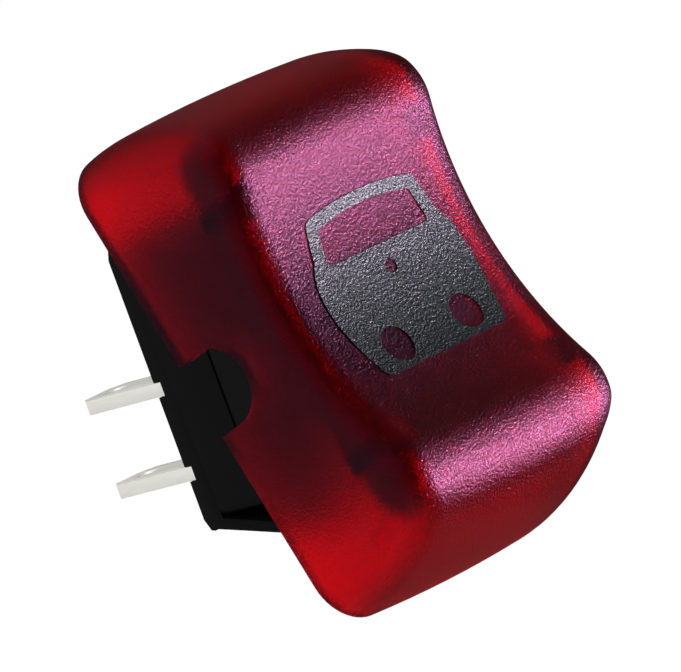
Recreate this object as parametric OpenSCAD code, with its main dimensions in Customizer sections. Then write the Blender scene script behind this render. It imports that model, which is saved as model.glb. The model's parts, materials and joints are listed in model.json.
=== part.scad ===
// Snap-in panel rocker switch: a double-pole on-off switch body under a long skirted rocker cap.
// X runs along the rocker, Y is the pivot axis, Z points out of the panel.
// The origin is at the middle of the seat plane, the underside of the cover's flange.
// The rocker is drawn with its -X end pressed, which is the on position.

/* [Body] */
// Length of the body below the flange
body_l = 15.4; // [15.2:0.1:17]
// Width of the body below the flange
body_w = 10; // [9.8:0.1:11]
// Depth of the body below the flange
body_h = 7.8; // [7.7:0.1:9]
// Height of the cover's skirt, from the seam between housing and cover up to the flange
cover_h = 2.95; // [2.8:0.05:3.1]
// Wall thickness of housing and cover
wall = 0.9; // [0.8:0.05:1]
// Thickness of the housing floor
floor_t = 1.4; // [1.2:0.1:1.5]
// Thickness of the partition between the two poles
rib_t = 0.8; // [0.5:0.05:0.85]
// Radius of the body's upright edges
body_edge_r = 0.4; // [0.2:0.05:0.6]

/* [Flange and ears] */
// Overhang of the flange at each end
flange_end = 2.2; // [2.0:0.1:2.4]
// Overhang of the flange at each side
flange_side = 0.8; // [0.5:0.1:1]
// Thickness of the flange
flange_t = 0.9; // [0.7:0.05:1]
// Thickness of each pivot ear
ear_t = 1; // [0.8:0.05:1.2]
// Radius of the rounded top of the pivot ears
ear_r = 1.9; // [1.6:0.05:2]
// Height of the pivot axis above the seat plane
pivot_h = 1.7; // [1.6:0.05:1.9]

/* [Snap fingers] */
// Thickness of each snap finger
finger_t = 0.6; // [0.4:0.05:0.7]
// Outward lean of each snap finger in degrees
finger_lean = 12.8; // [10:0.1:13]
// Distance the root of each finger stands out from the end wall
finger_root = 0.7; // [0.65:0.01:0.75]
// Thickest panel that the fingers snap under
panel_max = 2.05; // [2.02:0.01:2.2]

/* [Rocker] */
// Tilt of the rocker each way from the middle, in degrees
throw_deg = 16; // [15:0.5:16.5]
// Radius of the trunnions
trunnion_r = 0.9; // [0.7:0.05:1]
// Thickness of the carrier's top plate
plate_t = 1.2; // [0.9:0.1:1.3]
// Length of the carrier's block between the ears
block_l = 8.4; // [7:0.1:9]

/* [Cap] */
// Length of the cap at the edge of its skirt
cap_l = 30; // [29.7:0.1:30.8]
// Width of the cap
cap_w = 18.2; // [17.8:0.1:19]
// Thickness of the cap's wall
cap_wall = 1.1; // [0.9:0.05:1.2]
// Height of the middle of the saddle above the skirt edge
saddle_h = 9; // [8.9:0.05:9.6]
// Radius of the concave saddle
saddle_r = 22; // [20:0.5:25]
// Radius of the two crests
crest_r = 3.5; // [3.2:0.1:3.8]
// Distance of the crests' centres from the middle
crest_x = 9.8; // [9.5:0.1:10.1]
// Radius of the end walls' curve from the skirt edge up to the crests
end_r = 16; // [15:1:30]
// Distance the cap's end walls bow out in the middle of their width
end_bow = 0.35; // [0:0.05:0.6]
// Radius of the cap's upright corners
cap_corner_r = 2.6; // [2:0.1:2.9]
// Radius of the rounding along the cap's upper edges
cap_edge_r = 1.7; // [0.8:0.1:1.9]
// Depth of the skirt edge below the pivot axis
skirt_drop = 2.56; // [2.4:0.02:2.7]
// Radius of the half-round notch in each long side of the skirt
notch_r = 2.28; // [1.8:0.04:2.6]
// Height of the notch's arc centre above the skirt edge
notch_h = 1.8; // [1.4:0.1:2.1]
// Radius of the four mounting posts
post_r = 1.05; // [0.8:0.05:1.2]
// Distance of the posts from the middle, along the cap
post_x = 7.7; // [7:0.1:8]

/* [Symbol] */
// Width of the printed vehicle symbol
symbol_w = 12.2; // [9:0.1:12.6]
// Length of the printed vehicle symbol
symbol_l = 10.1; // [8:0.1:11]
// Thickness of the ink
ink_t = 0.05; // [0.03:0.01:0.08]

/* [Plungers] */
// Distance from the pivot axis to the centre of the plunger's round tip
tip_reach = 4.6; // [4.5:0.05:4.7]
// Radius of the plunger's round tip
tip_r = 0.6; // [0.45:0.05:0.65]
// Radius of the plunger's shaft
plunger_r = 1; // [0.9:0.05:1.05]
// Outer radius of the guide tubes
guide_r = 1.5; // [1.3:0.05:1.55]
// Depth of the guide tubes' lower end below the pivot axis
guide_drop = 3.4; // [3.2:0.05:3.45]
// Radius of the spring's wire
wire_r = 0.1; // [0.07:0.01:0.12]
// Mean radius of the spring's coils
coil_r = 0.5; // [0.4:0.02:0.56]
// Turns of each spring
coil_turns = 7; // [5:1:9]

/* [Contacts] */
// Distance between the two terminals of a pole
pitch = 5; // [4.8:0.05:5.08]
// Thickness of the rocking contact's strip
strip_t = 0.35; // [0.25:0.05:0.4]
// Width of the rocking contact's strip
strip_w = 2.2; // [1.8:0.1:2.3]
// Slope of the rocking contact's trough in degrees
trough_deg = 20; // [20:1:24]
// Half length of the rocking contact's trough
trough_l = 1.9; // [1.7:0.1:2.2]
// Radius of the rocking contact's lugs
lug_r = 0.3; // [0.2:0.05:0.35]
// Radius of the contact rivets' heads
rivet_r = 0.7; // [0.5:0.05:0.75]
// Height of the contact rivets' heads
rivet_h = 0.4; // [0.3:0.05:0.45]

/* [Terminals] */
// Width of the terminal blades
blade_w = 3.6; // [3.2:0.1:3.8]
// Thickness of the terminal blades
blade_t = 0.8; // [0.5:0.1:0.9]
// Length of the terminal blades below the housing
blade_l = 6.4; // [5:0.1:8]
// Radius of the hole in each blade
blade_hole_r = 0.6; // [0.4:0.05:0.8]
// Chamfer at the tip of each blade
blade_tip = 0.8; // [0.4:0.05:1.1]
// Depth of the slot that shows at the lower edge of the body
slot_h = 0.5; // [0.3:0.05:0.7]

/* [Hidden] */
$fn = 48;
FRONT = -1;
REAR = 1;
cut = 0.01;            // overrun of every cut past the surface that it opens
run_gap = 0.05;        // radial clearance of everything that turns or slides
seat_gap = 0.03;       // clearance of what is pushed into a slot and stays there
shank_gap = 0.01;      // radial clearance of the rivets' shanks
stop_gap = 0.06;       // space left where a moving part meets its stop
side_gap = 0.1;        // sideways clearance of the rocker and of the rocking contacts
ceiling_gap = 0.12;    // clearance between the carrier's plate and the cap's ceiling
plate_gap = 0.5;       // clearance between the carrier's plate and the cap's walls

// Levels of the body, measured from the seat plane
bottom_z = -body_h;
floor_z = bottom_z + floor_t;
seam_z = -cover_h;
groove = 0.1;          // depth and half height of the groove along the seam
lip_h = 0.5;
lip_t = 0.35;
inner_l = body_l - 2 * wall;
inner_w = body_w - 2 * wall;

// Snap fingers: a blunt root at the foot of the body, then a blade that leans out to its free end
finger_chamfer_h = 0.28;
finger_nib_z = bottom_z + 0.57;
finger_root_z = bottom_z + 0.83;
finger_notch_z = bottom_z + 1.45;
finger_tip_z = -panel_max;
finger_gap = 0.17;

// The two poles stand midway between the partition and the side walls
pole_y = (inner_w + rib_t) / 4;

// Levels of the rocker, measured from the pivot axis with the rocker level
block_w = inner_w - 2 * side_gap;
block_bottom = -1.6;
ear_in = inner_w / 2 + cut;
plate_top = saddle_h - cap_wall - skirt_drop - ceiling_gap;
plate_bottom = plate_top - plate_t;
plate_corner_r = 1.6;
stop_w = 0.8;
stop_inset = 0.3;      // distance of the stops' outer faces from the ends of the flange
stop_reach = body_l / 2 + flange_end - stop_inset;
stop_x = stop_reach - stop_w / 2;
stop_z = (flange_t + stop_gap - pivot_h + stop_reach * sin(throw_deg)) / cos(throw_deg);
bore_top = 2.6;

// Levels of the plungers and springs, in the same frame
plunger_top = -0.6;
plunger_foot = -guide_drop - 0.1;
plunger_bore_r = coil_r + wire_r + 0.12;
plunger_bore_z = plunger_foot + 0.5;
coil_z0 = plunger_bore_z + wire_r + cut;
coil_z1 = bore_top - wire_r - cut;

// The rocking contacts turn half as far as the rocker, so the plungers' tips run along their troughs
contact_deg = throw_deg / 2;
tip_gap = 0.165;       // space between tip and trough with the rocker level
contact_z = pivot_h - tip_reach - strip_t / 2 - (tip_r + tip_gap) / cos(trough_deg);
arm_z = trough_l * tan(trough_deg);
arm_l = pitch + rivet_r;
arm_under = arm_z - strip_t / 2;
function arm_low(under) = contact_z - arm_l * sin(contact_deg) + under * cos(contact_deg) - stop_gap;
fixed_z = arm_low(arm_under - rivet_h);
rest_z = arm_low(arm_under);
shank_r = rivet_r / 2;

// Terminals
neck_w = blade_w / 2;
blade_y = body_w / 2 - blade_w / 2 - seat_gap;
shelf_t = 0.5;
shelf_l = 2 * rivet_r + 0.5;
shelf_z = fixed_z - rivet_h;
cradle_ear_t = 0.4;
cradle_in = strip_w / 2 + side_gap;
cradle_l = 2;
cradle_t = 0.4;
cradle_z = contact_z - lug_r - run_gap - 0.35;

// Cap, with heights measured from the edge of its skirt
crest_z = saddle_h + saddle_r - sqrt(pow(saddle_r + crest_r, 2) - pow(crest_x, 2));
cap_top = crest_z + crest_r;
crest_c = [crest_x, crest_z];
crest_foot = [cap_l / 2, 0] - crest_c;
// the end wall's arc touches the crest's arc from outside and ends at the foot
end_reach = end_r - crest_r;
end_turn = acos((crest_foot * crest_foot + end_reach * end_reach - end_r * end_r)
                / (2 * norm(crest_foot) * end_reach));
end_deg = 180 + atan2(crest_foot[1], crest_foot[0]) - end_turn;
end_c = crest_c - end_reach * [cos(end_deg), sin(end_deg)];
saddle_deg = asin(crest_x / (saddle_r + crest_r));
corner_r = min(cap_corner_r, crest_r - 0.15);
skirt_run = 1.0;       // how far the cap's form runs on below the skirt edge before it is cut off
end_steps = 4;
crest_steps = 8;
saddle_steps = 10;
edge_steps = 8;
crown_steps = 4;
bend_steps = 8;
post_sink = 0.2;       // how far the posts run into the side walls

post_y = cap_w / 2 - cap_wall - post_r + post_sink;

// The carrier's plate fills the cap's cavity at the height of its upper face
cavity_x = end_c[0] + sqrt(pow(end_r - cap_wall, 2) - pow(plate_top + skirt_drop - end_c[1], 2));
plate_l = 2 * (cavity_x - end_bow / 2 - plate_gap);
plate_w = cap_w - 2 * (cap_wall + plate_gap);

BLACK = "#1b1b1d";
RED = [0.72, 0.04, 0.08, 0.75];
INK = "#22302e";
TIN = "#d8d8d0";
STEEL = "#b8babd";
SILVER = "#dadbdc";

// Draws its children at the +X end, or mirrored at the -X end
module at_end(end) {
    mirror([end < 0 ? 1 : 0, 0, 0])
        children();
}

// Draws its children at the rear, or mirrored at the front
module at_side(side) {
    mirror([0, side < 0 ? 1 : 0, 0])
        children();
}

// Draws out a profile of X and Z along Y, by w in all
module along_y(w) {
    rotate([90, 0, 0])
        linear_extrude(w, center = true)
            children();
}

// Draws out a profile of Y and Z along X, by w in all
module along_x(w) {
    rotate([90, 0, 90])
        linear_extrude(w, center = true)
            children();
}

// A rectangle with round corners
module rounded_rect(l, w, r) {
    square([l - 2 * r, w], center = true);
    square([l, w - 2 * r], center = true);
    for (x = [-1, 1], y = [-1, 1])
        translate([x * (l / 2 - r), y * (w / 2 - r)])
            circle(r);
}

// Puts the level rocker where it stands with its -X end pressed
module pressed() {
    translate([0, 0, pivot_h])
        rotate([0, -throw_deg, 0])
            children();
}

// Puts a level rocking contact where it stands with its +X end down
module closed(side) {
    at_side(side)
        translate([0, pole_y, contact_z])
            rotate([0, contact_deg, 0])
                children();
}

module finger_profile() {
    wall_x = body_l / 2;
    root_x = wall_x + finger_root;
    tip_x = root_x + (finger_tip_z - finger_root_z) * tan(finger_lean);
    polygon([[wall_x - wall / 2, bottom_z], [wall_x, bottom_z],
             [root_x - 0.03, bottom_z + finger_chamfer_h], [root_x + 0.04, finger_nib_z],
             [root_x, finger_root_z], [tip_x, finger_tip_z - 0.1],
             [tip_x - finger_t / 2, finger_tip_z], [tip_x - finger_t, finger_tip_z],
             [wall_x + finger_gap, finger_notch_z], [wall_x - wall / 2, finger_notch_z]]);
}

// Holes in the housing's floor for one terminal, and the recess for its shoulders, open at the side
module terminal_holes() {
    wide = blade_t + 2 * seat_gap;
    tall = neck_w + 2 * seat_gap;
    shoulder_y = blade_y - blade_w / 2 - seat_gap;
    translate([-wide / 2, pole_y - tall / 2, bottom_z - cut])
        cube([wide, tall, floor_t + 2 * cut]);
    translate([-wide / 2, shoulder_y, bottom_z - cut])
        cube([wide, body_w / 2 - shoulder_y + cut, slot_h + cut]);
}

module housing() {
    color(BLACK)
    difference() {
        union() {
            difference() {
                union() {
                    translate([0, 0, bottom_z])
                        linear_extrude(seam_z - bottom_z - groove)
                            rounded_rect(body_l, body_w, body_edge_r);
                    translate([0, 0, seam_z - groove - cut])
                        linear_extrude(groove + cut)
                            rounded_rect(body_l - 2 * groove, body_w - 2 * groove, body_edge_r);
                }
                translate([-inner_l / 2, -inner_w / 2, floor_z])
                    cube([inner_l, inner_w, body_h]);
            }
            for (end = [-1, 1])
                at_end(end)
                    along_y(body_w)
                        finger_profile();
            // partition between the poles
            translate([-body_l / 2 + wall / 2, -rib_t / 2, floor_z - cut])
                cube([body_l - wall, rib_t, seam_z - lip_h - side_gap - floor_z]);
            // pads under the free ends of the rocking contacts
            for (side = [FRONT, REAR])
                at_side(side)
                    translate([-arm_l, pole_y - strip_w / 2, floor_z - cut])
                        cube([2 * rivet_r, strip_w, rest_z - floor_z + cut]);
        }
        for (side = [FRONT, REAR], x = [0, pitch])
            translate([x, 0, 0])
                at_side(side)
                    terminal_holes();
    }
}

// Outline of a pivot ear, standing on the seat plane
module ear_profile() {
    intersection() {
        union() {
            translate([0, pivot_h])
                circle(ear_r);
            translate([-ear_r, 0])
                square([2 * ear_r, pivot_h]);
        }
        translate([-ear_r, 0])
            square([2 * ear_r, pivot_h + ear_r]);
    }
}

module cover() {
    color(BLACK)
    difference() {
        union() {
            translate([0, 0, seam_z + groove])
                linear_extrude(-seam_z - groove + cut)
                    rounded_rect(body_l, body_w, body_edge_r);
            translate([0, 0, seam_z])
                linear_extrude(groove + cut)
                    rounded_rect(body_l - 2 * groove, body_w - 2 * groove, body_edge_r);
            // lip that sits inside the housing's wall
            translate([0, 0, seam_z - lip_h])
                linear_extrude(lip_h + cut)
                    square([inner_l - 2 * seat_gap, inner_w - 2 * seat_gap], center = true);
            linear_extrude(flange_t)
                rounded_rect(body_l + 2 * flange_end, body_w + 2 * flange_side, 1);
            for (side = [FRONT, REAR])
                translate([0, side * (ear_in + ear_t / 2), 0])
                    along_y(ear_t)
                        ear_profile();
        }
        translate([0, 0, seam_z - lip_h - cut])
            linear_extrude(2 * lip_h + 2 * cut)
                square([inner_l - 2 * lip_t, inner_w - 2 * lip_t], center = true);
        translate([0, 0, seam_z + lip_h])
            linear_extrude(flange_t - seam_z)
                square([inner_l, inner_w], center = true);
        translate([0, 0, pivot_h])
            rotate([90, 0, 0])
                cylinder(r = trunnion_r + run_gap, h = 2 * (ear_in + ear_t) + 2 * cut, center = true);
    }
}

module rocker_carrier() {
    color(BLACK)
    pressed()
    difference() {
        union() {
            translate([-block_l / 2, -block_w / 2, block_bottom])
                cube([block_l, block_w, plate_bottom - block_bottom + cut]);
            translate([0, 0, plate_bottom])
                linear_extrude(plate_t)
                    rounded_rect(plate_l, plate_w, plate_corner_r);
            rotate([90, 0, 0])
                cylinder(r = trunnion_r, h = 2 * (ear_in + ear_t) - seat_gap, center = true);
            for (side = [FRONT, REAR])
                translate([0, side * pole_y, -guide_drop])
                    cylinder(r = guide_r, h = guide_drop + block_bottom + cut);
            // stops that meet the flange
            for (end = [-1, 1])
                translate([end * stop_x - stop_w / 2, -block_w / 2, stop_z])
                    cube([stop_w, block_w, plate_bottom - stop_z + cut]);
            // ribs that join the stops to the block
            for (side = [FRONT, REAR])
                at_side(side)
                    translate([-stop_x, block_w / 2 - stop_w, plate_bottom - 1])
                        cube([2 * stop_x, stop_w, 1 + cut]);
        }
        for (side = [FRONT, REAR])
            translate([0, side * pole_y, -guide_drop - cut])
                cylinder(r = plunger_r + run_gap, h = guide_drop + bore_top + cut);
        // seats for the cap's posts
        for (x = [-1, 1], y = [-1, 1])
            translate([x * post_x, y * post_y, plate_bottom - cut])
                cylinder(r = post_r + seat_gap, h = plate_t + 2 * cut);
    }
}

// Point and outward normal of the cap's side view: half an outline from below the skirt edge,
// up the end wall, round the crest and along the saddle to the middle
function arc_point(centre, r, a) = let (n = [cos(a), sin(a)])
    [centre + r * n, n];
function saddle_point(a) = let (n = [-sin(a), cos(a)])
    [[0, saddle_h + saddle_r] - saddle_r * n, n];
foot_deg = asin((-skirt_run - end_c[1]) / end_r);
half_outline = concat(
    [for (i = [0:end_steps - 1]) arc_point(end_c, end_r, foot_deg + (end_deg - foot_deg) * i / end_steps)],
    [for (i = [0:crest_steps])
        arc_point(crest_c, crest_r, end_deg + (90 + saddle_deg - end_deg) * i / crest_steps)],
    [for (i = [1:saddle_steps]) saddle_point(saddle_deg * (1 - i / saddle_steps))]);
outline = concat(half_outline, [for (i = [len(half_outline) - 2:-1:0])
    [[-half_outline[i][0][0], half_outline[i][0][1]], [-half_outline[i][1][0], half_outline[i][1][1]]]]);

// Radius of the rounding between the outline and the flat side, larger at the upright corners
function edge_r(n) = let (u = max(0, (abs(n[0]) - sin(saddle_deg)) / (1 - sin(saddle_deg))))
    cap_edge_r + (corner_r - cap_edge_r) * u * u * (3 - 2 * u);

// Draws a point of the end walls back from their bow, the more the further it lies to one side
function bowed(x, y, z) = [x * (1 - 2 * end_bow / cap_l * pow(2 * y / cap_w, 2)), y, z];

// The outline at one step a of the rounding, 0 at the crown and 90 at the flat side
function edge_ring(side, a, inset) = [for (o = outline)
    let (r = max(edge_r(o[1]) - inset, 0.1), q = o[0] - o[1] * (inset + r * (1 - cos(a))))
    bowed(q[0], side * (cap_w / 2 - inset - r * (1 - sin(a))), q[1])];

// The outline at a share t of the crown's half width
function crown_ring(t, inset) = [for (o = outline)
    let (r = max(edge_r(o[1]) - inset, 0.1), q = o[0] - o[1] * inset)
    bowed(q[0], t * (cap_w / 2 - inset - r), q[1])];

// The cap's solid form, smaller by inset all round, running on below the skirt edge
module cap_form(inset) {
    angles = [for (i = [0:edge_steps]) 90 * i / edge_steps];
    rings = concat([for (i = [edge_steps:-1:0]) edge_ring(-1, angles[i], inset)],
                   [for (i = [1:crown_steps - 1]) crown_ring(2 * i / crown_steps - 1, inset)],
                   [for (a = angles) edge_ring(1, a, inset)]);
    m = len(outline);
    last = len(rings) - 1;
    walls = [for (i = [0:last - 1], k = [0:m - 1])
        let (k1 = (k + 1) % m)
        each [[i * m + k, i * m + k1, (i + 1) * m + k1], [i * m + k, (i + 1) * m + k1, (i + 1) * m + k]]];
    // Each flat side is a strip across the foot and two fans up to the crests and the saddle
    mid = (m - 1) / 2;
    side = concat([[0, 1, m - 2], [0, m - 2, m - 1], [1, mid, m - 2]],
                  [for (k = [2:mid - 1]) each [[1, k, k + 1], [m - 2, m - 2 - k, m - 1 - k]]]);
    sides = [for (f = side) each [[f[2], f[1], f[0]], [for (k = f) last * m + k]]];
    polyhedron(points = [for (r = rings) each r], faces = concat(walls, sides));
}

module cap_posts() {
    for (x = [-1, 1], y = [-1, 1])
        translate([x * post_x, y * post_y, plate_bottom + skirt_drop])
            cylinder(r = post_r, h = cap_top);
}

// Half-round notch through both long sides of the skirt
module cap_notch() {
    along_y(2 * cap_w) {
        translate([0, notch_h])
            circle(notch_r);
        translate([-notch_r, -notch_h])
            square([2 * notch_r, 2 * notch_h]);
    }
}

module cap() {
    color(RED)
    pressed()
    translate([0, 0, -skirt_drop])
    difference() {
        cap_form(0);
        translate([-cap_l, -cap_w, -2 * skirt_drop])
            cube([2 * cap_l, 2 * cap_w, 2 * skirt_drop]);
        difference() {
            cap_form(cap_wall);
            cap_posts();
        }
        cap_notch();
    }
}

// Points along a bend from a to c that leans towards b
function bend(a, b, c) = [for (i = [0:bend_steps])
    let (t = i / bend_steps) (1 - t) * (1 - t) * a + 2 * t * (1 - t) * b + t * t * c];

// Draws a shape with its outer corners rounded
module rounded(r) {
    offset(r)
        offset(delta = -r)
            children();
}

// Outline of a small car seen from the front, roof towards -X, with windscreen and lamps left open
module symbol_outline() {
    l = symbol_l / 2;
    w = symbol_w / 2;
    shoulder = bend([-0.54 * l, 0.87 * w], [-0.19 * l, 1.14 * w], [0.92 * l, 0.84 * w]);
    roof = bend([-l, -0.76 * w], [-1.18 * l, 0], [-l, 0.76 * w]);
    windscreen = bend([-0.87 * l, -0.65 * w], [-1.03 * l, 0], [-0.87 * l, 0.65 * w]);
    difference() {
        rounded(0.6)
            polygon(concat(roof, shoulder, [for (i = [bend_steps:-1:0]) [shoulder[i][0], -shoulder[i][1]]]));
        rounded(0.3)
            polygon(concat(windscreen, [[-0.46 * l, 0.72 * w], [-0.46 * l, -0.72 * w]]));
        for (side = [FRONT, REAR])
            translate([0.62 * l, side * 0.49 * w])
                circle(0.18 * w);
        // badge
        translate([-0.19 * l, 0])
            circle(0.07 * w);
    }
}

module vehicle_symbol() {
    color(INK)
    pressed()
    translate([0, 0, -skirt_drop])
    intersection() {
        linear_extrude(cap_top)
            symbol_outline();
        translate([0, 0, saddle_h + saddle_r])
            rotate([90, 0, 0])
                difference() {
                    cylinder(r = saddle_r - cut, h = cap_w, center = true, $fn = 150);
                    cylinder(r = saddle_r - cut - ink_t, h = 2 * cap_w, center = true, $fn = 150);
                }
    }
}

module plunger(side) {
    color("#d9d4c4")
    pressed()
    translate([0, side * pole_y, 0])
    difference() {
        union() {
            translate([0, 0, plunger_foot])
                cylinder(r = plunger_r, h = plunger_top - plunger_foot);
            translate([0, 0, -tip_reach])
                cylinder(r1 = tip_r, r2 = plunger_r, h = tip_reach + plunger_foot);
            translate([0, 0, -tip_reach])
                sphere(tip_r);
        }
        translate([0, 0, plunger_bore_z])
            cylinder(r = plunger_bore_r, h = plunger_top - plunger_bore_z + cut);
    }
}

// Points of one ring of the spring's wire, at a share t of its length
function coil_ring(t, sides) =
    let (a = 360 * coil_turns * t, z = coil_z0 + (coil_z1 - coil_z0) * t)
    [for (k = [0:sides - 1])
        let (b = 360 * k / sides, r = coil_r + wire_r * cos(b))
        [r * cos(a), r * sin(a), z + wire_r * sin(b)]];

module spring(side) {
    sides = 6;
    rings = 14 * coil_turns;
    points = [for (i = [0:rings]) each coil_ring(i / rings, sides)];
    walls = [for (i = [0:rings - 1], k = [0:sides - 1])
        let (a = i * sides + k, b = i * sides + (k + 1) % sides)
        [a, a + sides, b + sides, b]];
    caps = [[for (k = [0:sides - 1]) k], [for (k = [sides - 1:-1:0]) rings * sides + k]];
    color(STEEL)
    pressed()
    translate([0, side * pole_y, 0])
        polyhedron(points = points, faces = concat(walls, caps));
}

// Centre line of a rocking contact from its middle to one end, with its thickness to both sides
module strip_profile() {
    h = strip_t / 2;
    v = h / cos(trough_deg);
    for (end = [-1, 1])
        at_end(end)
            polygon([[0, -v], [trough_l, arm_z - h], [arm_l, arm_z - h], [arm_l, arm_z + h],
                     [trough_l - v * tan(trough_deg), arm_z + h], [0, v]]);
}

module rocking_contact(side) {
    color(TIN)
    closed(side)
    difference() {
        union() {
            along_y(strip_w)
                strip_profile();
            rotate([90, 0, 0])
                cylinder(r = lug_r, h = 2 * (cradle_in + cradle_ear_t), center = true);
        }
        // the lugs stay out of the trough
        along_y(strip_w)
            polygon([[0, strip_t / 2 / cos(trough_deg)], [trough_l, arm_z + strip_t],
                     [-trough_l, arm_z + strip_t]]);
        translate([pitch, 0, 0])
            cylinder(r = shank_r + shank_gap, h = 2 * arm_z + strip_t);
    }
}

module moving_rivet(side) {
    color(SILVER)
    closed(side)
    translate([pitch, 0, arm_under]) {
        translate([0, 0, -rivet_h])
            cylinder(r = rivet_r, h = rivet_h);
        translate([0, 0, -cut])
            cylinder(r = shank_r, h = strip_t + 2 * cut);
        translate([0, 0, strip_t])
            cylinder(r = rivet_r * 0.8, h = rivet_h / 2);
    }
}

// Blade below the housing, its shoulders in the recess and its neck up through the floor
module terminal_blade(top) {
    shoulder_z = bottom_z + slot_h - seat_gap;
    tip_z = bottom_z - blade_l;
    y0 = blade_y - blade_w / 2;
    y1 = blade_y + blade_w / 2;
    difference() {
        along_x(blade_t) {
            polygon([[y0, shoulder_z], [y0, tip_z + blade_tip], [y0 + blade_tip, tip_z],
                     [y1 - blade_tip, tip_z], [y1, tip_z + blade_tip], [y1, shoulder_z]]);
            translate([pole_y - neck_w / 2, shoulder_z - cut])
                square([neck_w, top - shoulder_z + cut]);
        }
        translate([0, blade_y, tip_z + blade_tip + 2 * blade_hole_r - 0.4])
            rotate([0, 90, 0])
                cylinder(r = blade_hole_r, h = 2 * blade_t, center = true);
    }
}

// The neck ends in a cradle whose two ears hold the rocking contact's lugs
module common_terminal(side) {
    ear_top = contact_z + lug_r;
    color(TIN)
    at_side(side) {
        terminal_blade(cradle_z - cut);
        translate([0, pole_y, 0])
        difference() {
            translate([-cradle_l / 2, -cradle_in - cradle_ear_t, cradle_z - cradle_t])
                cube([cradle_l, 2 * (cradle_in + cradle_ear_t), ear_top - cradle_z + cradle_t]);
            translate([-cradle_l, -cradle_in, cradle_z])
                cube([2 * cradle_l, 2 * cradle_in, ear_top - cradle_z + cut]);
            along_y(4 * strip_w) {
                translate([0, contact_z])
                    circle(lug_r + run_gap);
                translate([-lug_r - run_gap, contact_z])
                    square([2 * (lug_r + run_gap), lug_r + cut]);
            }
        }
    }
}

// The neck ends in a shelf that holds the fixed rivet
module load_terminal(side) {
    color(TIN)
    translate([pitch, 0, 0])
    at_side(side) {
        difference() {
            union() {
                terminal_blade(shelf_z - shelf_t + cut);
                translate([-shelf_l / 2, pole_y - strip_w / 2, shelf_z - shelf_t])
                    cube([shelf_l, strip_w, shelf_t]);
            }
            translate([0, pole_y, shelf_z - shelf_t])
                cylinder(r = shank_r + shank_gap, h = shelf_t + cut);
        }
    }
}

module fixed_rivet(side) {
    color(SILVER)
    translate([pitch, side * pole_y, shelf_z]) {
        cylinder(r = rivet_r, h = rivet_h);
        translate([0, 0, -shelf_t])
            cylinder(r = shank_r, h = shelf_t + cut);
    }
}

housing();
cover();
rocker_carrier();
cap();
vehicle_symbol();
plunger(FRONT);  // front_plunger
plunger(REAR);  // rear_plunger
spring(FRONT);  // front_spring
spring(REAR);  // rear_spring
rocking_contact(FRONT);  // front_rocking_contact
rocking_contact(REAR);  // rear_rocking_contact
moving_rivet(FRONT);  // front_moving_rivet
moving_rivet(REAR);  // rear_moving_rivet
common_terminal(FRONT);  // front_common_terminal
common_terminal(REAR);  // rear_common_terminal
load_terminal(FRONT);  // front_load_terminal
load_terminal(REAR);  // rear_load_terminal
fixed_rivet(FRONT);  // front_fixed_rivet
fixed_rivet(REAR);  // rear_fixed_rivet
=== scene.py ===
"""Snap-in panel rocker switch: the looks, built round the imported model."""

import json
import math

import bmesh
import bpy
from mathutils import Matrix, Vector

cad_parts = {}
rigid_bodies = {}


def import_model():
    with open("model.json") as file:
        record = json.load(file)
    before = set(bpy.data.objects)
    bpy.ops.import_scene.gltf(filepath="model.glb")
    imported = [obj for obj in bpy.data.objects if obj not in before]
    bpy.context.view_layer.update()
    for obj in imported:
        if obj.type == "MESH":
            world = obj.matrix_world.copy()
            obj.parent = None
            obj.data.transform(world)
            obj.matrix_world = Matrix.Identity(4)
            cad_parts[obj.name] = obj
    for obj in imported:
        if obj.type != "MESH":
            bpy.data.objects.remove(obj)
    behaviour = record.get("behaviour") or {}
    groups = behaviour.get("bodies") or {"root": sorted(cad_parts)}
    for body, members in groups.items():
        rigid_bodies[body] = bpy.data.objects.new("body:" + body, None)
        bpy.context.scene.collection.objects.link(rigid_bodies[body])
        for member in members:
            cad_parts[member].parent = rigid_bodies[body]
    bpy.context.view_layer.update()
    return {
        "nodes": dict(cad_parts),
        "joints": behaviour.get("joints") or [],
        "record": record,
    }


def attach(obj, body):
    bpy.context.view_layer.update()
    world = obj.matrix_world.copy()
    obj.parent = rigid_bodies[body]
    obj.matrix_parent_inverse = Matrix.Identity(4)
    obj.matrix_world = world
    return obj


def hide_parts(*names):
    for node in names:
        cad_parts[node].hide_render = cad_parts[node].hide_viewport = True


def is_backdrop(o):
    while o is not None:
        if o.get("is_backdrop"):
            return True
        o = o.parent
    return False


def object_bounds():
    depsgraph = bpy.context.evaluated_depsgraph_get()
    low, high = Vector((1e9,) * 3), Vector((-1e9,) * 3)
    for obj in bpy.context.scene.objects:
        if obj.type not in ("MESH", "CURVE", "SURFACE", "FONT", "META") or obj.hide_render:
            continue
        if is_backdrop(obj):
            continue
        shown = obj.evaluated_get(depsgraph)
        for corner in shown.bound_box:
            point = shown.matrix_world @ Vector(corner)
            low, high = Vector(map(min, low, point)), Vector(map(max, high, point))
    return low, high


bl_info = {
    "name": "Panel rocker switch",
    "version": (1, 0, 0),
    "blender": (4, 5, 0),
    "location": "3D View > Sidebar > Switch",
    "description": "Builds a snap-in panel rocker switch with a translucent red rocker cap",
    "category": "Add Mesh",
}

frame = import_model()

MM = 0.001
PIVOT = Vector(next(j["pos_m"] for j in frame["joints"] if j["name"] == "rocker_pivot"))

# How a CAD node's loose triangles become whole faces with round edges.
MERGE_DISTANCE = 0.001 * MM
FLAT_ANGLE = math.radians(0.5)
ROUNDED_ANGLE = math.radians(30)
ROUNDED_STEPS = 2

# Edges sharper than this stay crisp where a piece is shaded smooth.
CRISP_ANGLE = math.radians(40)
CRISP_CAP_ANGLE = math.radians(35)


# ---------------------------------------------------------------- settings


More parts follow.
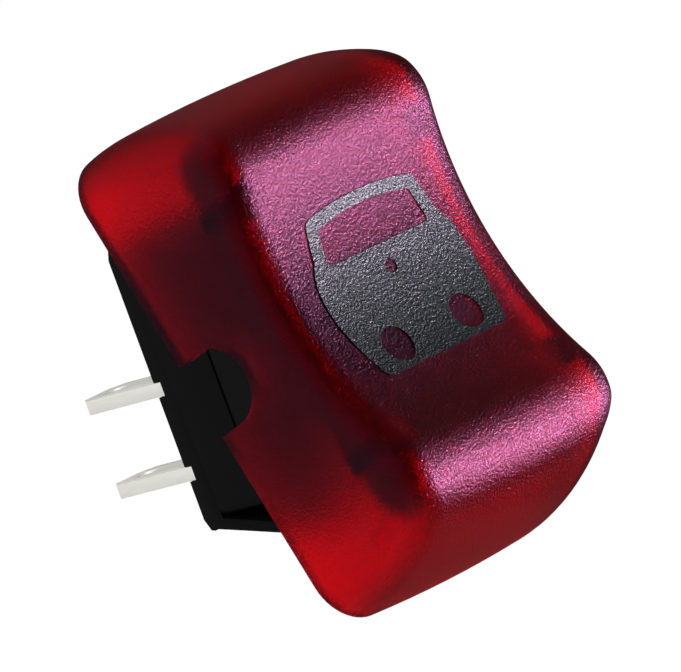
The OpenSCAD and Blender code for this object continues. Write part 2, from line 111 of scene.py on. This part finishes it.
def length(name, description, millimetres):
    """A length setting that is written in millimetres and kept in metres."""
    return bpy.props.FloatProperty(
        name=name,
        description=description,
        default=millimetres * MM,
        min=0.0,
        precision=5,
        unit="LENGTH",
    )


def colour(name, description, code):
    """A colour setting from an sRGB hex code."""
    return bpy.props.FloatVectorProperty(
        name=name,
        description=description,
        default=linear(code),
        size=4,
        min=0.0,
        max=1.0,
        subtype="COLOR",
    )


def linear(code):
    """Linear RGBA of an sRGB hex code such as #c01020, by the sRGB curve."""
    channels = [int(code[i : i + 2], 16) / 255 for i in (1, 3, 5)]
    curve = [c / 12.92 if c <= 0.04045 else ((c + 0.055) / 1.055) ** 2.4 for c in channels]
    return (*curve, 1.0)


class CapSettings(bpy.types.PropertyGroup):
    """Sizes and finish of the rocker cap, drawn level with its skirt edge at height 0."""

    tilt: bpy.props.FloatProperty(
        name="Tilt",
        description="How far the rocker leans with its -X end pressed",
        default=math.radians(16),
        subtype="ANGLE",
    )
    length: length("Length", "Length of the cap at the edge of its skirt", 29.89)
    width: length("Width", "Width of the cap", 18.2)
    wall: length("Wall", "Wall thickness", 1.1)
    saddle_height: length("Saddle height", "Height of the saddle's middle", 8.995)
    saddle_radius: length("Saddle radius", "Radius of the concave saddle", 22.0)
    crest_radius: length("Crest radius", "Radius of the two crests", 3.5)
    crest_reach: length("Crest reach", "Distance of the crests from the middle", 9.76)
    end_radius: length("End radius", "Radius of the end walls, seen from the side", 16.0)
    end_bow: length("End bow", "How far the end walls bow out, seen from above", 0.35)
    corner_radius: length("Corner radius", "Radius of the upright corners", 2.6)
    edge_radius: length("Edge radius", "Radius along the upper edges", 1.7)
    skirt_run: length("Skirt run", "Depth below the skirt edge at which the form starts", 1.0)
    skirt_drop: length("Skirt drop", "Depth of the skirt edge below the pivot", 2.56)
    notch_radius: length("Notch radius", "Radius of the skirt's notches", 2.28)
    notch_height: length("Notch height", "Height of the notch's centre", 1.8)
    post_radius: length("Post radius", "Radius of the mounting posts", 1.05)
    post_x: length("Post distance", "Distance of the posts from the middle", 7.7)
    post_y: length("Post offset", "Distance of the posts from the centre line", 7.15)
    post_foot: length("Post foot", "Height of the posts' lower ends", 6.58)
    # The real grain is finer and flatter than this, and would not show.
    grain: length("Grain", "Size of the spark-eroded grain", 0.2)
    grain_depth: length("Grain depth", "Height of the grain", 0.08)
    tint: colour("Tint", "Colour that the surface passes on", "#ff8098")
    haze: colour("Haze", "Tint of the surface's reflections", "#ff84d4")
    depth_tint: colour("Depth tint", "Colour that the plastic turns with depth", "#f8006c")
    density: bpy.props.FloatProperty(
        name="Density",
        description="How strongly each metre of the plastic takes up light",
        default=5870.0,
        min=0.0,
    )


class BodySettings(bpy.types.PropertyGroup):
    """Finish of the black mouldings and of the pictogram's ink."""

    edge: length("Edge", "Rounding of the moulded edges", 0.1)
    wear: length("Wear", "Size of the patches that shine unevenly", 1.667)
    # The real textures are finer than these, and would not show.
    housing_grit: length("Housing grit", "Size of the housing's texture", 0.12)
    rocker_grit: length("Rocker grit", "Size of the rocker's texture", 0.2)
    housing: colour("Housing", "Colour of the housing and cover", "#161618")
    rocker: colour("Rocker", "Colour of the rocker under the cap", "#151517")
    ink: colour("Ink", "Colour of the printed pictogram", "#14211f")
    ink_sheen: colour("Ink sheen", "Tint of the ink's reflections", "#cdf2ea")


class MetalSettings(bpy.types.PropertyGroup):
    """Finish of the metal pieces and the plungers."""

    burr: length("Burr", "Rounding of the blanked edges", 0.06)
    # The real streaks and grit are finer than these, and would not show.
    strip_streak: length("Strip streak", "Width of the streaks on the tinned strip", 0.15)
    rivet_streak: length("Rivet streak", "Width of the streaks on the rivets", 0.1)
    wire_streak: length("Wire streak", "Width of the streaks on the spring wire", 0.05)
    plunger_grit: length("Plunger grit", "Size of the plungers' texture", 0.3)
    tin: colour("Tin", "Colour of the tinned brass", "#f8f7f0")
    silver: colour("Silver", "Colour of the contact rivets", "#e8e8e8")
    steel: colour("Steel", "Colour of the spring wire", "#b9bbbd")
    acetal: colour("Acetal", "Colour of the plungers", "#dcd7c6")


class StageSettings(bpy.types.PropertyGroup):
    """Camera, lights and floor."""

    distance: length("Distance", "Distance of the camera", 700.0)
    span: length("Span", "Width of the picture at the object", 37.83)
    floor: colour("Floor", "Colour of the light table", "#ffffff")
    floor_glow: bpy.props.FloatProperty(
        name="Floor glow",
        description="Brightness of the light table",
        default=1.02,
        min=0.0,
    )
    floor_reach: length("Floor reach", "Half the width of the light table", 3000.0)
    room: colour("Room", "Colour of the dim light from all round", "#ffffff")
    room_glow: bpy.props.FloatProperty(
        name="Room glow",
        description="Brightness of the dim light from all round",
        default=0.02,
        min=0.0,
    )


# ---------------------------------------------------------------- helpers


def add_node(tree, kind, inputs=None):
    """Adds a node with its settings and links: a socket gets a value or another's output."""
    node = tree.nodes.new(kind)
    for key, value in (inputs or {}).items():
        if isinstance(value, bpy.types.NodeSocket):
            tree.links.new(value, node.inputs[key])
        else:
            node.inputs[key].default_value = value
    return node


def new_material(name):
    """An empty node material, with its tree."""
    made = bpy.data.materials.new(name)
    made.use_nodes = True
    made.node_tree.nodes.clear()
    return made, made.node_tree


def new_object(name, mesh_source):
    """Turns a bmesh into an object of the scene."""
    mesh = bpy.data.meshes.new(name)
    mesh_source.to_mesh(mesh)
    mesh_source.free()
    made = bpy.data.objects.new(name, mesh)
    bpy.context.scene.collection.objects.link(made)
    return made


def apply_modifiers(made):
    """Bakes an object's modifiers into its mesh."""
    bpy.context.view_layer.update()
    graph = bpy.context.evaluated_depsgraph_get()
    mesh = bpy.data.meshes.new_from_object(made.evaluated_get(graph))
    old = made.data
    made.modifiers.clear()
    made.data = mesh
    mesh.name = made.name
    bpy.data.meshes.remove(old)


def cut_with(made, cutter):
    """Cuts one solid with another, and removes the cutter."""
    modifier = made.modifiers.new("cut", "BOOLEAN")
    modifier.object = cutter
    modifier.operation = "DIFFERENCE"
    modifier.solver = "EXACT"
    apply_modifiers(made)
    bpy.data.objects.remove(cutter)


def smooth(made, crisp):
    """Shades smooth, and keeps every edge sharper than the angle crisp."""
    made.data.shade_smooth()
    made.data.set_sharp_from_angle(angle=crisp)


def finish_piece(made, material, body):
    """Gives a piece its material and its body."""
    made.data.materials.clear()
    made.data.materials.append(material)
    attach(made, body)


def dress(node, material):
    """Gives a CAD node its material."""
    made = frame["nodes"][node]
    if not made.material_slots:
        made.data.materials.append(material)
    for slot in made.material_slots:
        slot.material = material


def body_of(node):
    """Name of the body that a CAD node moves with."""
    bodies = frame["record"]["behaviour"]["bodies"]
    return next(body for body, nodes in bodies.items() if node in nodes)


def softened(node, name, material, width):
    """Adds a copy of a CAD node with small round edges, which stands for the node."""
    mesh = bmesh.new()
    mesh.from_mesh(frame["nodes"][node].data)
    bmesh.ops.remove_doubles(mesh, verts=mesh.verts, dist=MERGE_DISTANCE)
    bmesh.ops.dissolve_limit(mesh, angle_limit=FLAT_ANGLE, verts=mesh.verts, edges=mesh.edges)
    made = new_object(name, mesh)
    modifier = made.modifiers.new("edges", "BEVEL")
    modifier.width = width
    modifier.segments = ROUNDED_STEPS
    modifier.limit_method = "ANGLE"
    modifier.angle_limit = ROUNDED_ANGLE
    apply_modifiers(made)
    smooth(made, CRISP_ANGLE)
    finish_piece(made, material, body_of(node))
    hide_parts(node)


# ---------------------------------------------------------------- materials

# A noise pattern's values crowd round its middle: these are its usual low and high.
NOISE_LOW = 0.3
NOISE_HIGH = 0.7

CELLS_PER_GRAIN = 1.2  # cells of the noise in one grain of the spark-eroded skin
GRIT_DEPTH = 0.02 * MM  # height of the mouldings' texture
PATCH_GLOSS = 0.08  # how far the roughness of the patches strays either way
STREAK_DEPTH = 0.01 * MM  # height of the streaks on metal
STREAK_PULL = 0.12  # the streaks are drawn out upright to about eight times their width
STREAK_SMOOTH = 0.07  # how far the roughness drops in the smoothest streaks
STREAK_ROUGH = 0.1  # how far it rises in the roughest ones


def eroded_grain(tree, cap):
    """Bump of a spark-eroded mould: fine pits of all sizes that scatter the highlights."""
    place = add_node(tree, "ShaderNodeTexCoord").outputs["Object"]
    grain = add_node(
        tree,
        "ShaderNodeTexNoise",
        inputs={
            "Vector": place,
            "Scale": CELLS_PER_GRAIN / cap.grain,
            "Detail": 2.0,
            "Roughness": 0.7,
        },
    )
    bump = add_node(
        tree,
        "ShaderNodeBump",
        inputs={
            "Strength": 1.0,
            "Distance": cap.grain_depth,
            "Height": grain.outputs["Fac"],
        },
    )
    return bump.outputs["Normal"]


def red_polycarbonate(cap):
    """Tinted clear polycarbonate: thin walls glow red, deep ones go black under a lilac haze."""
    made, tree = new_material("red_polycarbonate_spark_eroded")
    shader = add_node(
        tree,
        "ShaderNodeBsdfPrincipled",
        inputs={
            "Base Color": cap.tint,
            "Roughness": 0.28,
            "IOR": 1.55,
            "Transmission Weight": 1.0,
            "Specular Tint": cap.haze,
            "Normal": eroded_grain(tree, cap),
        },
    )
    depth = add_node(
        tree,
        "ShaderNodeVolumeAbsorption",
        inputs={"Color": cap.depth_tint, "Density": cap.density},
    )
    add_node(
        tree,
        "ShaderNodeOutputMaterial",
        inputs={"Surface": shader.outputs["BSDF"], "Volume": depth.outputs["Volume"]},
    )
    return made


def moulding(name, base, grit, wear_size, roughness):
    """Moulded nylon, ABS or acetal: a dull skin, with a fine even texture in its highlights."""
    made, tree = new_material(name)
    place = add_node(tree, "ShaderNodeTexCoord").outputs["Object"]
    texture = add_node(
        tree,
        "ShaderNodeTexNoise",
        inputs={"Vector": place, "Scale": 1.0 / grit, "Detail": 3.0},
    )
    bump = add_node(
        tree,
        "ShaderNodeBump",
        inputs={"Strength": 0.3, "Distance": GRIT_DEPTH, "Height": texture.outputs["Fac"]},
    )
    wear = add_node(
        tree,
        "ShaderNodeTexNoise",
        inputs={"Vector": place, "Scale": 1.0 / wear_size, "Detail": 4.0},
    )
    gloss = add_node(
        tree,
        "ShaderNodeMapRange",
        inputs={
            "Value": wear.outputs["Fac"],
            "From Min": NOISE_LOW,
            "From Max": NOISE_HIGH,
            "To Min": roughness - PATCH_GLOSS,
            "To Max": roughness + PATCH_GLOSS,
        },
    )
    shader = add_node(
        tree,
        "ShaderNodeBsdfPrincipled",
        inputs={
            "Base Color": base,
            "Roughness": gloss.outputs["Result"],
            "IOR": 1.5,
            "Normal": bump.outputs["Normal"],
        },
    )
    add_node(tree, "ShaderNodeOutputMaterial", inputs={"Surface": shader.outputs["BSDF"]})
    return made


def printed_ink(cap, body):
    """Screen-printing ink: dark, with a grey sheen that follows the pits below it.

    Its IOR is set above that of a usual ink, for the strong sheen.
    """
    made, tree = new_material("screen_printing_ink")
    shader = add_node(
        tree,
        "ShaderNodeBsdfPrincipled",
        inputs={
            "Base Color": body.ink,
            "Roughness": 0.3,
            "IOR": 1.7,
            "Specular IOR Level": 0.6,
            "Specular Tint": body.ink_sheen,
            "Normal": eroded_grain(tree, cap),
        },
    )
    add_node(tree, "ShaderNodeOutputMaterial", inputs={"Surface": shader.outputs["BSDF"]})
    return made


def worked_metal(name, base, streak, roughness, metallic=1.0):
    """Rolled, headed or drawn metal: bright, with faint upright streaks in its shine."""
    made, tree = new_material(name)
    place = add_node(tree, "ShaderNodeTexCoord").outputs["Object"]
    stretched = add_node(
        tree,
        "ShaderNodeMapping",
        inputs={"Vector": place, "Scale": (1.0, 1.0, STREAK_PULL)},
    )
    streaks = add_node(
        tree,
        "ShaderNodeTexNoise",
        inputs={"Vector": stretched.outputs["Vector"], "Scale": 1.0 / streak, "Detail": 4.0},
    )
    gloss = add_node(
        tree,
        "ShaderNodeMapRange",
        inputs={
            "Value": streaks.outputs["Fac"],
            "From Min": NOISE_LOW,
            "From Max": NOISE_HIGH,
            "To Min": roughness - STREAK_SMOOTH,
            "To Max": roughness + STREAK_ROUGH,
        },
    )
    bump = add_node(
        tree,
        "ShaderNodeBump",
        inputs={"Strength": 0.15, "Distance": STREAK_DEPTH, "Height": streaks.outputs["Fac"]},
    )
    shader = add_node(
        tree,
        "ShaderNodeBsdfPrincipled",
        inputs={
            "Base Color": base,
            "Metallic": metallic,
            "Roughness": gloss.outputs["Result"],
            "Normal": bump.outputs["Normal"],
        },
    )
    add_node(tree, "ShaderNodeOutputMaterial", inputs={"Surface": shader.outputs["BSDF"]})
    return made


# ---------------------------------------------------------------- cap


class CapShape:
    """The cap's side view, level, with its skirt edge at height 0, and what follows from it."""

    # Facets along each part of the side view, round its edge, and across the cap.
    STEPS_END = 20
    STEPS_CREST = 24
    STEPS_SADDLE = 60
    STEPS_EDGE = 12
    STEPS_CROWN = 8

    # How near a point has to be to the join of two arcs to count as on it.
    NEAR_ANGLE = 1e-5
    NEAR_LENGTH = 1e-7

    LEAST_RADIUS = 0.1 * MM  # the cavity's edges are never rounded less than this

    def __init__(self, cap):
        self.cap = cap
        self.saddle = Vector((0, 0, cap.saddle_height + cap.saddle_radius))
        reach = cap.saddle_radius + cap.crest_radius
        self.saddle_half = math.asin(cap.crest_reach / reach)
        self.crest_height = self.saddle.z - math.cos(self.saddle_half) * reach
        # The end wall's arc starts at the end of the skirt edge and runs on into the crest.
        foot = Vector((cap.length / 2 - cap.crest_reach, -self.crest_height))
        reach = cap.end_radius - cap.crest_radius
        spread = foot.length_squared + reach**2 - cap.end_radius**2
        turn = math.acos(spread / (2 * foot.length * reach))
        self.end_angle = math.pi + math.atan2(foot.y, foot.x) - turn
        self.end_centre = self.crest(1) - reach * self.upwards(self.end_angle)

    def upwards(self, angle):
        """Direction in the side view, turned up from +X."""
        return Vector((math.cos(angle), 0, math.sin(angle)))

    def crest(self, end):
        """Centre of the crest at the +X end (1) or the -X end (-1)."""
        return Vector((end * self.cap.crest_reach, 0, self.crest_height))

    def normal(self, point):
        """Outward normal of the side view at one of its points."""
        mirrored = Vector((abs(point.x), 0, point.z))
        inwards = (self.saddle - self.crest(1)).normalized()
        join = self.crest(1) + inwards * self.cap.crest_radius
        away = mirrored - self.end_centre
        if math.atan2(away.z, away.x) > self.end_angle + self.NEAR_ANGLE:
            away = mirrored - self.crest(1)
        if mirrored.x < join.x - self.NEAR_LENGTH:
            away = self.saddle - mirrored
        away.x = math.copysign(away.x, away.x * point.x)
        return away.normalized()

    def rounding(self, normal):
        """Radius between the side view and the flat side, from the top edges to the corners."""
        start = math.sin(self.saddle_half)
        share = max(0.0, (abs(normal.x) - start) / (1 - start))
        eased = share * share * (3 - 2 * share)
        return self.cap.edge_radius + (self.cap.corner_radius - self.cap.edge_radius) * eased

    def outline(self, mesh):
        """Draws the side view as a closed loop of edges, and returns its vertices in order."""
        low = math.asin((-self.cap.skirt_run - self.end_centre.z) / self.cap.end_radius)
        foot = self.end_centre + self.upwards(low) * self.cap.end_radius
        other = Vector((-self.end_centre.x, 0, self.end_centre.z))
        rise = self.end_angle - low
        sweep = math.pi / 2 + self.saddle_half - self.end_angle
        vert = bmesh.ops.create_vert(mesh, co=foot)["vert"][0]
        vert = self.turn(mesh, vert, self.end_centre, -rise, self.STEPS_END)
        vert = self.turn(mesh, vert, self.crest(1), -sweep, self.STEPS_CREST)
        vert = self.turn(mesh, vert, self.saddle, 2 * self.saddle_half, self.STEPS_SADDLE)
        vert = self.turn(mesh, vert, self.crest(-1), -sweep, self.STEPS_CREST)
        self.turn(mesh, vert, other, -rise, self.STEPS_END)
        mesh.verts.ensure_lookup_table()
        mesh.edges.new((mesh.verts[-1], mesh.verts[0]))
        return list(mesh.verts)

    def turn(self, mesh, vert, centre, angle, steps):
        """Draws an arc of edges from a vertex, and returns the vertex at its end."""
        made = bmesh.ops.spin(
            mesh,
            geom=[vert],
            cent=centre,
            axis=(0, 1, 0),
            angle=angle,
            steps=steps,
            use_duplicate=False,
        )
        return next(g for g in made["geom_last"] if isinstance(g, bmesh.types.BMVert))

    def solid(self, name, inset):
        """The cap's form as a closed solid, smaller by inset all round.

        The cap itself ends at its skirt edge. The cavity runs on below, and so opens it.
        """
        mesh = bmesh.new()
        loop = self.outline(mesh)
        points = [v.co.copy() for v in loop]
        normals = [self.normal(p) for p in points]
        radii = [max(self.rounding(n) - inset, self.LEAST_RADIUS) for n in normals]
        turns = [math.pi / 2 * step / self.STEPS_EDGE for step in range(self.STEPS_EDGE + 1)]
        crown = [2 * step / self.STEPS_CROWN - 1 for step in range(1, self.STEPS_CROWN)]
        # Rings from one flat side to the other, each one the side view drawn in by its edge.
        rings = [(-1, angle) for angle in reversed(turns)]
        rings += [(share, 0.0) for share in crown] + [(1, angle) for angle in turns]
        for number, (share, angle) in enumerate(rings):
            if number:
                loop = self.extruded(mesh, loop)
            else:
                mesh.faces.new(loop)
            for vert, point, normal, radius in zip(loop, points, normals, radii):
                vert.co = point - normal * (inset + radius * (1 - math.cos(angle)))
                depth = inset + radius * (1 - math.sin(angle))
                vert.co.y = share * (self.cap.width / 2 - depth)
                # The end walls bow out, so their ends are drawn in the most.
                drawn_in = (2 * vert.co.y / self.cap.width) ** 2
                vert.co.x *= 1 - 2 * self.cap.end_bow / self.cap.length * drawn_in
        mesh.faces.new(loop)
        if not inset:
            cut = bmesh.ops.bisect_plane(
                mesh,
                geom=mesh.verts[:] + mesh.edges[:] + mesh.faces[:],
                plane_co=(0, 0, 0),
                plane_no=(0, 0, -1),
                clear_outer=True,
            )
            rim = [g for g in cut["geom_cut"] if isinstance(g, bmesh.types.BMEdge)]
            bmesh.ops.edgeloop_fill(mesh, edges=rim)
        bmesh.ops.recalc_face_normals(mesh, faces=mesh.faces)
        return new_object(name, mesh)

    def extruded(self, mesh, loop):
        """Extrudes a closed loop of vertices, and returns the new loop in the same order."""
        edges = [mesh.edges.get((a, b)) for a, b in zip(loop, loop[1:] + loop[:1])]
        made = bmesh.ops.extrude_edge_only(mesh, edges=edges)["geom"]
        new = {g for g in made if isinstance(g, bmesh.types.BMVert)}
        ends = [[edge.other_vert(vert) for edge in vert.link_edges] for vert in loop]
        return [next(vert for vert in choice if vert in new) for choice in ends]


def level_to_rest(cap):
    """Places what is drawn level where it stands with the -X end pressed."""
    return (
        Matrix.Translation(PIVOT)
        @ Matrix.Rotation(-cap.tilt, 4, "Y")
        @ Matrix.Translation((0, 0, -cap.skirt_drop))
    )


POST_STEPS = 48  # facets round a post
NOTCH_STEPS = 40  # facets of a notch's half-round top
FEWEST_FACES = 1000  # a whole cap has far more, and an empty one has none


def cap_posts(cap):
    """Four round posts that stand in the cap's cavity."""
    mesh = bmesh.new()
    for x in (-1, 1):
        for y in (-1, 1):
            bmesh.ops.create_cone(
                mesh,
                cap_ends=True,
                segments=POST_STEPS,
                radius1=cap.post_radius,
                radius2=cap.post_radius,
                depth=cap.saddle_height,
                matrix=Matrix.Translation(
                    (x * cap.post_x, y * cap.post_y, cap.post_foot + cap.saddle_height / 2)
                ),
            )
    return new_object("posts", mesh)


def cap_notch(cap):
    """A bar with a half-round top that cuts the notches into both long sides."""
    mesh = bmesh.new()
    corner = (cap.notch_radius, -cap.width, -cap.notch_height)
    foot = bmesh.ops.create_vert(mesh, co=corner)["vert"][0]
    side = bmesh.ops.extrude_vert_indiv(mesh, verts=[foot])["verts"][0]
    side.co.z = cap.notch_height
    bmesh.ops.spin(
        mesh,
        geom=[side],
        cent=(0, -cap.width, cap.notch_height),
        axis=(0, 1, 0),
        angle=-math.pi,
        steps=NOTCH_STEPS,
    )
    mesh.verts.ensure_lookup_table()
    end = bmesh.ops.extrude_vert_indiv(mesh, verts=[mesh.verts[-1]])["verts"][0]
    end.co.z = -cap.notch_height
    mesh.verts.ensure_lookup_table()
    face = mesh.faces.new(list(mesh.verts))
    made = bmesh.ops.extrude_face_region(mesh, geom=[face])["geom"]
    verts = [g for g in made if isinstance(g, bmesh.types.BMVert)]
    bmesh.ops.translate(mesh, verts=verts, vec=(0, 2 * cap.width, 0))
    bmesh.ops.recalc_face_normals(mesh, faces=mesh.faces)
    return new_object("notch", mesh)


class SWITCH_OT_cap(bpy.types.Operator):
    """Build the translucent rocker cap with its cavity, posts and notches"""

    bl_idname = "switch.cap"
    bl_label = "Rocker cap"

    def execute(self, context):
        cap = context.scene.switch_cap
        shape = CapShape(cap)
        made = shape.solid("rocker_cap", 0)
        cavity = shape.solid("cavity", cap.wall)
        cut_with(cavity, cap_posts(cap))
        cut_with(made, cavity)
        cut_with(made, cap_notch(cap))
        made.data.transform(level_to_rest(cap))
        smooth(made, CRISP_CAP_ANGLE)
        finish_piece(made, red_polycarbonate(cap), "rocker")
        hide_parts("cap")
        if len(made.data.polygons) < FEWEST_FACES:
            raise RuntimeError("the cap came out empty")
        return {"FINISHED"}


class SWITCH_OT_symbol(bpy.types.Operator):
    """Give the printed pictogram its ink"""

    bl_idname = "switch.symbol"
    bl_label = "Pictogram"

    def execute(self, context):
        scene = context.scene
        dress("vehicle_symbol", printed_ink(scene.switch_cap, scene.switch_body))
        return {"FINISHED"}


class SWITCH_OT_mouldings(bpy.types.Operator):
    """Round the edges of the black mouldings and give them their texture"""

    bl_idname = "switch.mouldings"
    bl_label = "Black mouldings"

    def execute(self, context):
        body = context.scene.switch_body
        # The nylon is drier to the eye than the ABS, which keeps a satin shine.
        nylon = moulding(
            "black_nylon_moulded", body.housing, body.housing_grit, body.wear, roughness=0.55
        )
        abs_plastic = moulding(
            "black_abs_moulded", body.rocker, body.rocker_grit, body.wear, roughness=0.4
        )
        softened("housing", "switch_housing", nylon, body.edge)
        softened("cover", "switch_cover", nylon, body.edge)
        softened("rocker_carrier", "carrier", abs_plastic, body.edge)
        return {"FINISHED"}


class SWITCH_OT_contacts(bpy.types.Operator):
    """Finish the terminals, rocking contacts, rivets, springs and plungers"""

    bl_idname = "switch.contacts"
    bl_label = "Contacts"

    def execute(self, context):
        metal = context.scene.switch_metal
        wear = context.scene.switch_body.wear
        # The plating scatters much of its light and looks whitish, so it is partly metallic.
        tin = worked_metal(
            "tin_plated_brass", metal.tin, metal.strip_streak, roughness=0.5, metallic=0.35
        )
        # Headed silver is the palest and smoothest metal here, and drawn wire is greyer.
        silver = worked_metal("silver_alloy", metal.silver, metal.rivet_streak, roughness=0.25)
        wire = worked_metal("spring_steel_wire", metal.steel, metal.wire_streak, roughness=0.3)
        # Natural acetal is milky white, with the soft shine of a slippery plastic.
        acetal = moulding(
            "natural_acetal", metal.acetal, metal.plunger_grit, wear, roughness=0.45
        )
        for side in ("front", "rear"):
            for terminal in ("common", "load"):
                node = f"{side}_{terminal}_terminal"
                softened(node, f"{side}_{terminal}_blade", tin, metal.burr)
            dress(f"{side}_rocking_contact", tin)
            dress(f"{side}_moving_rivet", silver)
            dress(f"{side}_fixed_rivet", silver)
            dress(f"{side}_spring", wire)
            dress(f"{side}_plunger", acetal)
        return {"FINISHED"}


# ---------------------------------------------------------------- stage

# Where the picture's right and down point on the part, and the point at its centre.
VIEW_RIGHT = Vector((0.3436, 0.6301, 0.6963))
VIEW_DOWN = Vector((0.9342, -0.3049, -0.1851))
VIEW_CENTRE = Vector((0.671, 2.375, -0.109)) * MM


def add_camera(stage):
    """A long lens, turned so that the rocker runs down the picture."""
    lens = bpy.data.cameras.new("camera")
    camera = bpy.data.objects.new("camera", lens)
    bpy.context.scene.collection.objects.link(camera)
    right = VIEW_RIGHT.normalized()
    back = right.cross(-VIEW_DOWN).normalized()
    up = back.cross(right)
    turned = Matrix((right, up, back)).transposed().to_4x4()
    camera.matrix_world = Matrix.Translation(VIEW_CENTRE + back * stage.distance) @ turned
    lens.sensor_width = 36.0
    lens.lens = lens.sensor_width * stage.distance / stage.span
    lens.clip_start = 0.1
    lens.clip_end = 10.0
    bpy.context.scene.camera = camera


def add_softbox(name, direction, distance, width, height, power, tint):
    """A rectangular studio light that faces the object, in metres and watts."""
    lamp = bpy.data.lights.new(name, "AREA")
    lamp.shape = "RECTANGLE"
    lamp.size = width
    lamp.size_y = height
    lamp.energy = power
    lamp.color = linear(tint)[:3]
    made = bpy.data.objects.new(name, lamp)
    bpy.context.scene.collection.objects.link(made)
    away = Vector(direction).normalized()
    made.location = away * distance
    made.rotation_euler = away.to_track_quat("Z", "Y").to_euler()
    return made


def add_light_table(stage):
    """A white floor that shines up through the red plastic."""
    low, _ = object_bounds()
    mesh = bmesh.new()
    bmesh.ops.create_grid(mesh, x_segments=1, y_segments=1, size=stage.floor_reach)
    bmesh.ops.translate(mesh, verts=mesh.verts, vec=(0, 0, low.z))
    floor = new_object("light_table", mesh)
    # Opal acrylic lit from below: an even white with no grain or shine of its own.
    acrylic, tree = new_material("white_acrylic_lit_from_below")
    shader = add_node(
        tree,
        "ShaderNodeEmission",
        inputs={"Color": stage.floor, "Strength": stage.floor_glow},
    )
    add_node(tree, "ShaderNodeOutputMaterial", inputs={"Surface": shader.outputs["Emission"]})
    floor.data.materials.append(acrylic)
    # Its mirror image would turn the black mouldings grey.
    floor.visible_glossy = False
    floor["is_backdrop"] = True


def add_room(stage):
    """Dim light from all round, so that no side goes quite black."""
    world = bpy.data.worlds.new("studio")
    world.use_nodes = True
    background = world.node_tree.nodes["Background"]
    background.inputs["Color"].default_value = stage.room
    background.inputs["Strength"].default_value = stage.room_glow
    bpy.context.scene.world = world
    # Colours come out as they are set, without a film-like curve.
    bpy.context.scene.view_settings.view_transform = "Standard"


def blade_collection():
    """A collection that holds the four terminals."""
    blades = bpy.data.collections.new("blades")
    for made in bpy.data.objects:
        if made.name.endswith("_blade"):
            blades.objects.link(made)
    return blades


class SWITCH_OT_stage(bpy.types.Operator):
    """Set up the light table, the studio lights and the camera"""

    bl_idname = "switch.stage"
    bl_label = "Stage"

    def execute(self, context):
        stage = context.scene.switch_stage
        add_light_table(stage)
        add_room(stage)
        # Both stand beyond the far side, and draw the lilac sheen on the saddle and crests.
        add_softbox(
            "rear_softbox",
            direction=(0.04, 0.78, 0.6),
            distance=0.4,
            width=0.22,
            height=0.14,
            power=0.42,
            tint="#ffe4f4",
        )
        add_softbox(
            "side_softbox",
            direction=(0.33, 0.73, 0.58),
            distance=0.4,
            width=0.12,
            height=0.14,
            power=3.0,
            tint="#ffd0f0",
        )
        lamp = add_softbox(
            "blade_softbox",
            direction=(-0.5, -0.75, 0.3),
            distance=0.35,
            width=0.3,
            height=0.3,
            power=1.1,
            tint="#ffffff",
        )
        # It lights the blades alone, so that the cap keeps its dark near side.
        lamp.light_linking.receiver_collection = blade_collection()
        add_camera(stage)
        return {"FINISHED"}


# ---------------------------------------------------------------- add-on

OPERATORS = (
    SWITCH_OT_cap,
    SWITCH_OT_symbol,
    SWITCH_OT_mouldings,
    SWITCH_OT_contacts,
    SWITCH_OT_stage,
)


class SWITCH_PT_panel(bpy.types.Panel):
    """Lists the steps that build the switch"""

    bl_idname = "SWITCH_PT_panel"
    bl_label = "Panel rocker switch"
    bl_space_type = "VIEW_3D"
    bl_region_type = "UI"
    bl_category = "Switch"

    def draw(self, context):
        for operator in OPERATORS:
            self.layout.operator(operator.bl_idname)


SETTINGS = {
    "switch_cap": CapSettings,
    "switch_body": BodySettings,
    "switch_metal": MetalSettings,
    "switch_stage": StageSettings,
}


def register():
    """Adds the settings, the steps and the panel to Blender."""
    for made in (*SETTINGS.values(), *OPERATORS, SWITCH_PT_panel):
        bpy.utils.register_class(made)
    for name, made in SETTINGS.items():
        setattr(bpy.types.Scene, name, bpy.props.PointerProperty(type=made))


def unregister():
    """Takes them out again."""
    for name in SETTINGS:
        delattr(bpy.types.Scene, name)
    for made in (SWITCH_PT_panel, *reversed(OPERATORS), *SETTINGS.values()):
        bpy.utils.unregister_class(made)


def main():
    """Builds the switch step by step."""
    register()
    bpy.ops.switch.cap()
    bpy.ops.switch.symbol()
    bpy.ops.switch.mouldings()
    bpy.ops.switch.contacts()
    bpy.ops.switch.stage()


if __name__ == "__main__":
    main()
